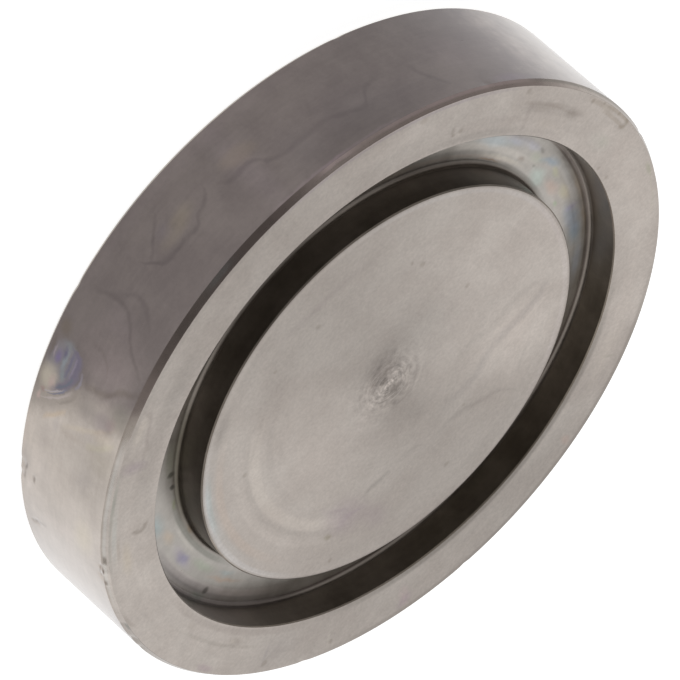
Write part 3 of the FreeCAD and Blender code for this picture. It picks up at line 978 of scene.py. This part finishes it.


# The rim: bare bright steel under a dark purple-brown film of heat and oil, which is also painted shade
# for the dim reflection on the side turned to the camera, with tide lines and clear patches. Places on it
# are azimuth in degrees and depth below the face in millimetres.
rimSteelLook = {
    "bare": tone(187, 177, 168),
    "dull": tone(172, 162, 153),
    "filmAndShade": tone(107, 98, 95),
    "filmAndShadeDull": tone(96, 87, 85),
    "between": tone(146, 137, 129),
    "grainTone": 0.16,
    "streakTone": 0.20, "streakCircle": 9.0, "streakScale": 2.2,
    # Painted shade where the rim turns away from the camera, near the face: azimuth, half stretch,
    # softness and how much darker
    "paintedShadeEnds": [(93, 13, 9, -0.40), (-94, 13, 9, -0.36)],
    "paintedShadeDepth": 3.2,            # how far below the face the painted shade at those ends reaches
    "anisotropy": 0.4, "oil": 0.55, "oilRoughness": 0.18, "edgeTint": (0.94, 0.95, 0.975),
    "roughness": 0.30, "roughnessSwing": 0.10,
    "mottleScale": 0.25,
    "wander": (1.0, 0.16),
    "crinkle": (3.0, 0.11),       # the same for the stain and the scars, finer and on top
    "markScale": 0.8, "markDetail": 4.0, "markTone": 0.09, "markRoughness": 0.06,
    "feedScale": 2.5, "feedHeight": 0.004,
    # Bare stretches, where chuck jaws gripped: azimuth, half stretch and softness of each
    "bareStretches": [(-104, 30, 15), (176, 20, 9)],
    "tearing": (0.55, 3.0, 0.6),  # noise that tears those stretches' edges
    "raggedness": 14,             # and by how many degrees
    "filmAndShadeEdge": [   # in the largest bare stretch: depth and azimuth of the edge of the film and painted shade
        (0.0, 29.5), (0.8, 32.5), (2.0, 33.0), (3.8, 33.2), (5.3, 33.6), (7.2, 36.0), (10.3, 40.0),
    ],
    "filmEdgeSoftness": 2.6,
    "filmEdgeMottle": 6.0,        # degrees by which the mottle shifts it
    "betweenWidth": 4.6,          # degrees of half covered steel beyond the edge
    "filmResumes": 106,           # azimuth where the film begins again
    "filmResumesSoftness": 5.0,
    "filmEdgeReach": 100,         # half the stretch, up to that azimuth, in which the edge counts
    "lines": [   # which way it runs; place along, place across and strength; half width; tint
        ("first", [(-38, 5.1, 0), (-34.5, 4.7, 0.8), (-32.5, 3.7, 1), (-31, 3.1, 0.8), (-28, 3.5, 0.9),
                   (-24, 3.9, 0.8), (-20, 3.8, 1), (-16, 3.8, 0.8), (-13.5, 4.3, 1), (-11, 5.2, 1),
                   (-8, 5.1, 0.8), (-6.5, 5.4, 0.7), (-5.5, 6.2, 0)], 0.45, (0.84, 0.83, 0.84)),
        ("second", [(1.6, -46.3, 0), (2.9, -44.5, 1), (3.8, -43.5, 0.9), (5.0, -43, 0)],
         0.42, (0.84, 0.83, 0.84)),
        ("first", [(-4.0, 6.5, 0), (-2, 5.4, 0.9), (0, 5.0, 0.8), (1.8, 4.4, 1), (3.5, 4.6, 0.7),
                   (6, 4.5, 1), (8.5, 4.7, 0.9), (10, 5.4, 1), (11.4, 6.4, 0)],
         0.42, (0.80, 0.79, 0.80)),
        ("first", [(4.0, 8.0, 0), (6.2, 7.2, 1), (8, 6.5, 0.9), (10.4, 5.7, 0)],
         0.40, (0.83, 0.82, 0.83)),
        ("second", [(0.9, 26.5, 0), (1.6, 25.3, 0.7), (2.7, 23.6, 1), (3.6, 21.6, 0.9), (4.6, 19.3, 0.8),
                    (5.4, 18.3, 1), (6.4, 18.1, 0.9), (7.3, 18.8, 0.8), (8.9, 19.3, 0)],
         0.40, (0.81, 0.80, 0.80)),
        ("second", [(2.2, 19.2, 0), (3.4, 16.8, 0.8), (4.2, 16.0, 1), (5.0, 15.7, 0.9), (5.8, 16.6, 0.7),
                    (6.8, 17.9, 0)], 0.42, (0.85, 0.84, 0.85)),
        ("second", [(0.3, 27.6, 0), (1.2, 28.8, 0.8), (2.4, 30.2, 1), (3.0, 31.4, 1), (3.9, 32.4, 0.9),
                    (4.9, 32.9, 0.7), (5.6, 33.2, 0)], 0.56, (0.80, 0.78, 0.74)),
        ("second", [(3.9, 29.8, 0), (4.5, 27.4, 0.9), (5.2, 26.6, 1), (6.2, 26.4, 0.7), (7.4, 26.3, 0)],
         0.36, (0.91, 0.90, 0.89)),
        ("second", [(0.8, 34.9, 0), (2.4, 37.6, 0.8), (3.6, 39.2, 1), (5.2, 40.9, 0.8), (6.4, 42.2, 0)],
         0.40, (1.05, 1.03, 0.97)),
        ("second", [(0.9, 38.4, 0), (1.6, 39.6, 1), (2.6, 41.0, 1), (3.6, 42.0, 0)],
         0.55, (1.04, 1.05, 0.97)),
        ("second", [(6.3, 39.6, 0), (7.0, 40.8, 1), (7.7, 42.2, 1), (8.4, 43.4, 0)],
         0.50, (1.05, 0.98, 0.88)),
        ("second", [(1.4, 42.2, 0), (3.0, 42.0, 0.7), (5.0, 42.6, 1), (7.4, 43.0, 0)],
         0.50, (0.95, 0.94, 0.93)),
        ("first", [(-34, 0.62, 0), (-29, 0.62, 1), (-14, 0.60, 1), (-8, 0.62, 0)],
         0.26, (1.22, 1.18, 1.24)),
    ],
    "spots": [   # azimuth and depth, half sizes in millimetres, turn, softness, tint
        ((3.4, 5.9), (2.7, 1.1), -14, 0.8, (1.22, 1.22, 1.07)),
        ((-11.0, 6.3), (2.2, 1.2), 10, 0.7, (1.16, 1.14, 1.04)),
        ((-52, 5.0), (3.6, 3.2), 0, 0.9, (1.05, 1.04, 1.06)),
        ((-55, 1.0), (5.0, 2.2), 0, 1.0, 0.94),
        ((-66, 5.5), (8.0, 9.0), 0, 1.0, (1.03, 1.00, 1.00)),
        ((25.6, 4.4), (2.7, 4.3), -14, 0.4, (1.07, 1.06, 1.07)),
        ((30.0, 3.4), (3.6, 4.0), 0, 0.9, (1.47, 1.48, 1.48)),
        ((33.0, 1.4), (1.6, 1.6), 0, 0.9, (0.76, 0.78, 0.76)),
        ((36.2, 2.6), (1.5, 1.5), 0, 0.8, (0.80, 0.78, 0.83)),
        ((36.5, 4.4), (1.9, 1.6), 0, 1.0, (0.88, 0.88, 0.90)),
        ((40.5, 2.6), (1.5, 2.6), 0, 1.0, (0.90, 0.90, 0.91)),
        ((-10.5, 5.0), (1.8, 7.5), 0, 1.0, (1.18, 1.18, 1.22)),
        ((-33, 2.6), (9.0, 3.4), 0, 1.0, (0.89, 0.89, 0.91)),
        ((-18.5, 3.2), (2.6, 3.6), 0, 1.0, (0.90, 0.90, 0.92)),
        ((20.5, 5.2), (1.9, 2.6), 0, 1.0, (1.15, 1.15, 1.17)),
        ((5.0, 6.2), (1.4, 1.3), 0, 1.0, (0.90, 0.90, 0.99)),
        ((-8, 9.7), (21, 1.5), 0, 1.0, (1.16, 1.16, 1.18)),
        ((-58, 0.9), (2.6, 0.8), 0, 0.9, (1.00, 0.95, 1.10)),
        ((-20.5, 0.6), (1.6, 0.3), 0, 0.9, (1.20, 1.17, 1.22)),
        ((46, 7.8), (2.4, 2.0), 0, 1.0, (0.90, 0.90, 0.91)),
        # These two: painted highlight where the rim turns away towards azimuth 80
        ((67, 5.0), (3.2, 5.4), 0, 1.0, (1.08, 1.09, 1.10)),
        ((79, 5.5), (4.2, 6.5), 0, 1.0, 1.10),
        ((54, 9.5), (2.4, 1.2), 0, 1.0, (0.80, 0.80, 0.81)),
        ((56.9, 8.45), (0.66, 0.28), 8, 1.0, (0.56, 0.54, 0.52)),
        ((55.5, 9.35), (0.66, 0.24), 14, 1.0, (0.52, 0.50, 0.48)),
        ((57.5, 9.50), (0.80, 0.22), 4, 1.0, (0.60, 0.57, 0.55)),
        ((58.9, 9.00), (0.90, 0.40), 10, 1.0, (1.10, 1.10, 1.13)),
        ((-28, 1.2), (7.0, 3.0), 0, 0.9, (0.74, 0.73, 0.73)),
        ((-45, 4.5), (9.0, 6.0), 0, 1.0, (0.92, 0.91, 0.91)),
        ((45.0, 2.5), (6.0, 7.0), 0, 1.0, 0.76),
        ((42.0, 1.6), (2.6, 2.4), 0, 1.0, (1.00, 1.00, 0.97)),
        ((-30.0, 5.0), (5.0, 4.5), 0, 1.0, (0.95, 0.95, 0.96)),
        ((35.4, 1.9), (0.9, 0.7), 30, 0.8, (1.03, 0.97, 0.99)),
        ((38.4, 2.2), (0.9, 1.6), -30, 0.9, (1.02, 1.00, 0.95)),
        ((43.0, 6.9), (0.9, 0.7), 0, 0.8, (0.96, 0.97, 1.00)),
        ((27.4, 9.2), (1.0, 0.9), 0, 0.8, (0.92, 0.89, 0.80)),
        ((60, 2.6), (3.0, 1.6), 10, 0.9, (1.02, 1.02, 0.95)),
        ((48, 3.0), (1.9, 1.1), 20, 0.9, (0.90, 0.90, 0.91)),
        ((53, 7.4), (2.6, 1.2), -10, 0.9, (0.95, 0.95, 0.96)),
        ((63, 5.6), (1.6, 2.4), 0, 0.9, (1.05, 1.04, 1.04)),
    ],
    # The blue oil stain at the foot of the film's edge, in full colours, drawn from the bottom up
    "stain": {
        "spots": [
            ((33.4, 8.1), (2.35, 2.0), 0, 0.35, tone(113, 108, 111)),
            ((36.6, 9.0), (1.80, 1.55), 0, 0.9, tone(163, 154, 141)),
            ((29.5, 8.1), (0.55, 1.00), 0, 1.0, tone(112, 112, 114)),
            ((32.2, 8.05), (1.45, 0.40), 0, 0.8, tone(120, 124, 129)),
            ((34.6, 7.75), (0.80, 0.42), 0, 1.0, tone(116, 120, 123)),
            ((31.1, 8.25), (0.75, 0.36), 0, 1.0, tone(92, 88, 106)),
            ((32.4, 8.75), (0.95, 0.46), 5, 1.0, tone(106, 96, 124)),
            ((31.9, 9.2), (0.90, 0.17), 0, 1.0, tone(134, 123, 128)),
            ((31.5, 9.6), (1.60, 0.35), 0, 0.9, tone(100, 90, 86)),
            ((36.9, 8.5), (1.00, 0.50), 0, 1.0, tone(163, 146, 139)),
            ((39.1, 9.15), (0.42, 0.34), 0, 1.0, tone(138, 119, 113)),
            ((40.5, 9.4), (0.50, 0.30), 0, 1.0, tone(168, 149, 142)),
        ],
        "lines": [
            ("first", [(29.2, 7.9, 0), (30.2, 7.0, 1), (31.5, 6.75, 1), (33.5, 6.7, 1), (35.2, 7.0, 1),
                       (36.6, 7.6, 0.8), (38.6, 8.5, 0)], 0.72, tone(99, 92, 107)),
            ("first", [(30.0, 7.55, 0), (31.2, 7.45, 0.8), (33.2, 7.45, 0.8), (34.6, 7.5, 0)],
             0.28, tone(95, 91, 109)),
            ("first", [(30.4, 7.15, 0), (31.6, 7.0, 1), (33.4, 7.05, 0.8), (34.2, 7.1, 0)],
             0.17, tone(117, 109, 123)),
            ("first", [(33.6, 6.75, 0), (34.8, 6.9, 1), (36.2, 7.45, 1), (37.4, 8.0, 0)],
             0.22, tone(92, 95, 106)),
            ("first", [(31.6, 6.1, 0), (32.8, 6.0, 0.8), (34.2, 6.0, 1), (35.2, 6.25, 0)],
             0.22, tone(124, 118, 126)),
            ("first", [(34.6, 5.8, 0), (36.2, 6.0, 1), (37.8, 6.5, 1), (39.4, 7.4, 0)],
             0.32, tone(134, 125, 117)),
            ("first", [(35.6, 6.3, 0), (37.0, 6.8, 0.7), (38.6, 7.6, 1), (39.8, 8.4, 1), (40.6, 9.2, 0)],
             0.30, tone(160, 150, 146)),
            ("first", [(36.4, 7.05, 0), (37.4, 7.6, 0.9), (38.4, 8.35, 1), (39.2, 9.0, 0)],
             0.21, tone(154, 147, 149)),
            ("first", [(36.0, 6.95, 0), (37.2, 7.3, 1), (38.4, 8.0, 1), (39.2, 8.7, 0)],
             0.16, tone(106, 106, 120)),
        ],
    },
    "scars": [
        ("second", [(7.2, 66.0, 0), (7.9, 66.7, 0.8), (8.5, 67.4, 1), (9.3, 68.2, 0)],
         0.42, (0.72, 0.70, 0.69)),
        ("first", [(50.0, 0.42, 0), (54.0, 0.42, 0.8), (63.0, 0.42, 1), (67.0, 0.45, 1), (70.0, 0.45, 0)],
         0.22, (0.80, 0.78, 0.77)),
        ("first", [(62.5, 0.62, 0), (63.6, 0.72, 1), (64.8, 0.86, 1), (66.0, 0.9, 0)],
         0.20, (0.70, 0.67, 0.65)),
    ],
}


# The back, faced like the front but not as finely, and rubbed by the bench
backSteelLook = {
    "bare": tone(182, 175, 167),
    "dull": tone(162, 155, 148),
    "grainTone": 0.14,
    "paintedShadeEnds": [],
    "arcs": [],
    "anisotropy": 0.7, "oil": 0.0, "oilRoughness": 0.2, "edgeTint": (1, 1, 1),
    "roughness": 0.40, "roughnessSwing": 0.12,
    "mottleScale": 0.2,
    "markScale": 0.25, "markDetail": 4.0, "markTone": 0.20, "markRoughness": 0.15,
    "feedScale": 1.2, "feedHeight": 0.006,
}


# Lays the film, which is also painted shade, over bare steel. Beyond its edge, which is a curve of azimuth
# over depth, comes half covered steel, then bare steel until the film resumes. The other bare stretches
# are plain.
def withFilmAndShade(tree, place, look, mottle, bare):
    rim = rimSteelLook
    depth = maths(tree, "SUBTRACT", faceHeight, place["height"])
    depths, azimuths = zip(*rim["filmAndShadeEdge"])
    edge = readCurve(tree, depth, depths, azimuths)
    past = maths(tree, "SUBTRACT", place["azimuth"], edge)
    past = maths(tree, "MULTIPLY_ADD", mottle, rim["filmEdgeMottle"], past)
    soft, width = rim["filmEdgeSoftness"], rim["betweenWidth"]
    tearing = centredNoise(tree, place["position"], *rim["tearing"])
    torn = maths(tree, "MULTIPLY_ADD", tearing, rim["raggedness"], place["azimuth"])
    half = rim["filmEdgeReach"]
    resumes = stretch(tree, torn, rim["filmResumes"] - half, half, rim["filmResumesSoftness"])
    uncovered = maths(tree, "MULTIPLY", eased(tree, past, -soft, soft), resumes)
    cleared = maths(tree, "MULTIPLY", eased(tree, past, width - soft, width + soft), resumes)
    for middle, half, softness in rim["bareStretches"]:
        patch = stretch(tree, torn, middle, half, softness)
        uncovered = maths(tree, "MAXIMUM", uncovered, patch)
        cleared = maths(tree, "MAXIMUM", cleared, patch)
    filmAndShade = mottled(tree, mottle, look["filmAndShadeDull"], look["filmAndShade"])
    colour = mixColour(tree, uncovered, filmAndShade, look["between"])
    return mixColour(tree, cleared, colour, bare)


# Painted shade: darkens a colour towards the given azimuths, where the surface turns away from the camera
def withPaintedShade(tree, colour, place, look, share=1.0):
    for middle, half, softness, amount in look["paintedShadeEnds"]:
        patch = maths(tree, "MULTIPLY", stretch(tree, place["azimuth"], middle, half, softness), share)
        colour = patterned(tree, colour, patch, amount)
    return colour


# The map of the rim has distance round and depth, both in millimetres. Azimuths in degrees become that
# distance, which is the angle in radians times the rim's radius.
def spotsOnRim(spots):
    return [((math.radians(azimuth) * rimRadius, depth), *spot) for (azimuth, depth), *spot in spots]


# The same for lines, whose azimuth is the first measure or the second
def linesOnRim(lines):
    onRim = []
    for way, points, width, tint in lines:
        sizes = (math.radians(rimRadius), 1) if way == "first" else (1, math.radians(rimRadius))
        moved = [(along * sizes[0], across * sizes[1], strength) for along, across, strength in points]
        onRim.append((way, moved, width, tint))
    return onRim


# The rim over its film and painted shade: streaks, painted shade at its ends, spots and lines, and the
# stain and the scars last
def paintRim(tree, place, look, colour):
    position = place["position"]
    around = maths(tree, "MULTIPLY", place["azimuth"], math.radians(rimRadius))
    depth = maths(tree, "SUBTRACT", faceHeight, place["height"])
    unrolled = add(tree, "CombineXYZ", {0: around, 1: depth, 2: 0.0}).outputs[0]
    wandered = wandering(tree, unrolled, position, *look["wander"])
    streaked = streaks(tree, place, "height", look["streakCircle"], look["streakScale"])
    colour = patterned(tree, colour, streaked, look["streakTone"])
    colour = withPaintedShade(tree, colour, place, look, faded(tree, depth, 0.0, look["paintedShadeDepth"]))
    colour = drawSpots(tree, colour, wandered, spotsOnRim(look["spots"]))
    colour = drawLines(tree, colour, wandered, linesOnRim(look["lines"]))
    crinkled = wandering(tree, wandered, position, *look["crinkle"])
    colour = drawSpots(tree, colour, crinkled, spotsOnRim(look["stain"]["spots"]), "MIX")
    colour = drawLines(tree, colour, crinkled, linesOnRim(look["stain"]["lines"]), "MIX")
    return drawLines(tree, colour, crinkled, linesOnRim(look["scars"]))


# The chamfer, the groove's walls and the back: painted shade at the ends where there is any, then arcs
def paintPlain(tree, place, look, colour):
    return drawArcs(tree, withPaintedShade(tree, colour, place, look), place, look["arcs"])


# A finish whose turning marks and feed marks go by one measure, the radius or the height. Over the marked
# steel come the film and painted shade, if it has one, and what its painter adds.
def makeFinish(name, look, measure, paint):
    material, tree, shader = newFinish(name, look)
    place = placeOnDisc(tree)
    marks = turningMarks(tree, place[measure], look)
    mottle = mottling(tree, place["position"], look)
    colour = markedSteel(tree, look, mottle, marks)
    if "filmAndShade" in look:
        colour = withFilmAndShade(tree, place, look, mottle, colour)
    colour = paint(tree, place, look, colour)
    dress(tree, place, shader, look, colour, mottle, marks, feedMarks(tree, place[measure], look))
    return material


disc = makeDisc()
for material in (
    makeFacedSteel("plateauSteel", True),
    makeFacedSteel("landSteel", False),
    makeFinish("groovedSteel", groovedSteelLook, "radius", paintGroove),
    makeFinish("wallSteel", wallSteelLook, "height", paintPlain),
    makeFinish("chamferSteel", chamferSteelLook, "height", paintPlain),
    makeFinish("rimSteel", rimSteelLook, "height", paintRim),
    makeFinish("backSteel", backSteelLook, "radius", paintPlain),
):
    disc.data.materials.append(material)
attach(disc, "root")
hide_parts(discNode)
print("disc made")

# The photograph's camera: how high it looks from, how it is rolled, how far off it is, its lens,
# and where the middle of the disc's face comes in the picture
camera = {
    "elevation": 31.98,
    "roll": 131.58,
    "distance": 0.6903,
    "lens": 488.77,
    "sensor": 36.0,
    "picture": 680,
    "faceCentrePixel": (388.12, 384.28),
    "clipEnds": (0.01, 50),
}


# The camera looks along a heading of +Y, tilted down by its elevation. Its right and up are turned
# about that heading by the roll. It stands where the face's centre falls on its pixel.
def makeCamera():
    tilt, roll = math.radians(camera["elevation"]), math.radians(camera["roll"])
    forward = Vector((0, math.cos(tilt), -math.sin(tilt)))
    levelRight = Vector((1, 0, 0))
    levelUp = levelRight.cross(forward)
    right = math.cos(roll) * levelRight + math.sin(roll) * levelUp
    up = right.cross(forward)
    focal = camera["lens"] / camera["sensor"] * camera["picture"]
    middle = camera["picture"] / 2
    across = (camera["faceCentrePixel"][0] - middle) / focal
    down = (camera["faceCentrePixel"][1] - middle) / focal
    sight = (forward + across * right - down * up).normalized()
    turn = Matrix((right, up, -forward)).transposed()
    data = bpy.data.cameras.new("camera")
    data.lens = camera["lens"]
    data.sensor_width = camera["sensor"]
    data.clip_start, data.clip_end = camera["clipEnds"]
    view = bpy.data.objects.new("camera", data)
    bpy.context.scene.collection.objects.link(view)
    faceCentre = Vector((0, 0, faceHeight * mm))
    view.matrix_world = Matrix.Translation(faceCentre - sight * camera["distance"]) @ turn.to_4x4()
    bpy.context.scene.camera = view


makeCamera()
print("camera placed")

# The studio: a pale floor that goes white, in a white tent that is dimmer overhead and behind the camera
studio = {
    "floorHalf": 3.0,
    "floorColour": (0.56, 0.56, 0.56),
    "floorRoughness": 0.9,
    "floorGlow": 0.78,                          # what the floor shows besides its shade
    # Dim parts of the world: heading of the middle, the cosines between which it dims, and its strength
    "dimParts": [
        ((-0.30, -0.10, 0.95), 0.55, 0.98, 0.55),     # overhead, where the tent is open
        ((0.17, -0.83, 0.50), 0.70, 0.93, 0.36),      # behind the camera
    ],
}


# The floor is matt, and glows where a camera, glossy or transmission ray meets it, so that it goes white
# and still keeps the disc's shadow
def makeFloor():
    half = studio["floorHalf"]
    mesh = bpy.data.meshes.new("floor")
    corners = [(-half, -half, 0), (half, -half, 0), (half, half, 0), (-half, half, 0)]
    mesh.from_pydata(corners, [], [(0, 1, 2, 3)])
    floor = bpy.data.objects.new("floor", mesh)
    bpy.context.scene.collection.objects.link(floor)
    material = bpy.data.materials.new("paleFloor")
    material.use_nodes = True
    tree = material.node_tree
    shader = tree.nodes["Principled BSDF"]
    shader.inputs["Base Color"].default_value = (*studio["floorColour"], 1)
    shader.inputs["Roughness"].default_value = studio["floorRoughness"]
    shader.inputs["Specular IOR Level"].default_value = 0.0
    rays = add(tree, "LightPath").outputs
    seen = maths(tree, "MAXIMUM", rays["Is Camera Ray"], rays["Is Glossy Ray"])
    seen = maths(tree, "MAXIMUM", seen, rays["Is Transmission Ray"])
    strength = maths(tree, "MULTIPLY", seen, studio["floorGlow"])
    glow = add(tree, "Emission", {"Color": (1, 1, 1, 1), "Strength": strength})
    both = add(tree, "AddShader", {0: shader.outputs[0], 1: glow.outputs[0]})
    tree.links.new(both.outputs[0], tree.nodes["Material Output"].inputs["Surface"])
    mesh.materials.append(material)


# The world's strength is 1. It dims smoothly towards the middle of each dim part.
def makeWorld():
    world = bpy.data.worlds.new("studio")
    bpy.context.scene.world = world
    world.use_nodes = True
    tree = world.node_tree
    direction = add(tree, "TexCoord").outputs["Generated"]
    strength = 1.0
    for heading, outer, inner, dimmed in studio["dimParts"]:
        middle = Vector(heading).normalized()
        product = add(tree, "VectorMath", {0: direction, 1: middle}, operation="DOT_PRODUCT")
        dimming = eased(tree, product.outputs["Value"], outer, inner, 1.0, dimmed)
        strength = maths(tree, "MULTIPLY", dimming, strength)
    background = tree.nodes["Background"]
    background.inputs["Color"].default_value = (1, 1, 1, 1)
    tree.links.new(strength, background.inputs["Strength"])


makeFloor()
makeWorld()
bpy.context.scene.view_settings.view_transform = "Standard"
print("studio made")
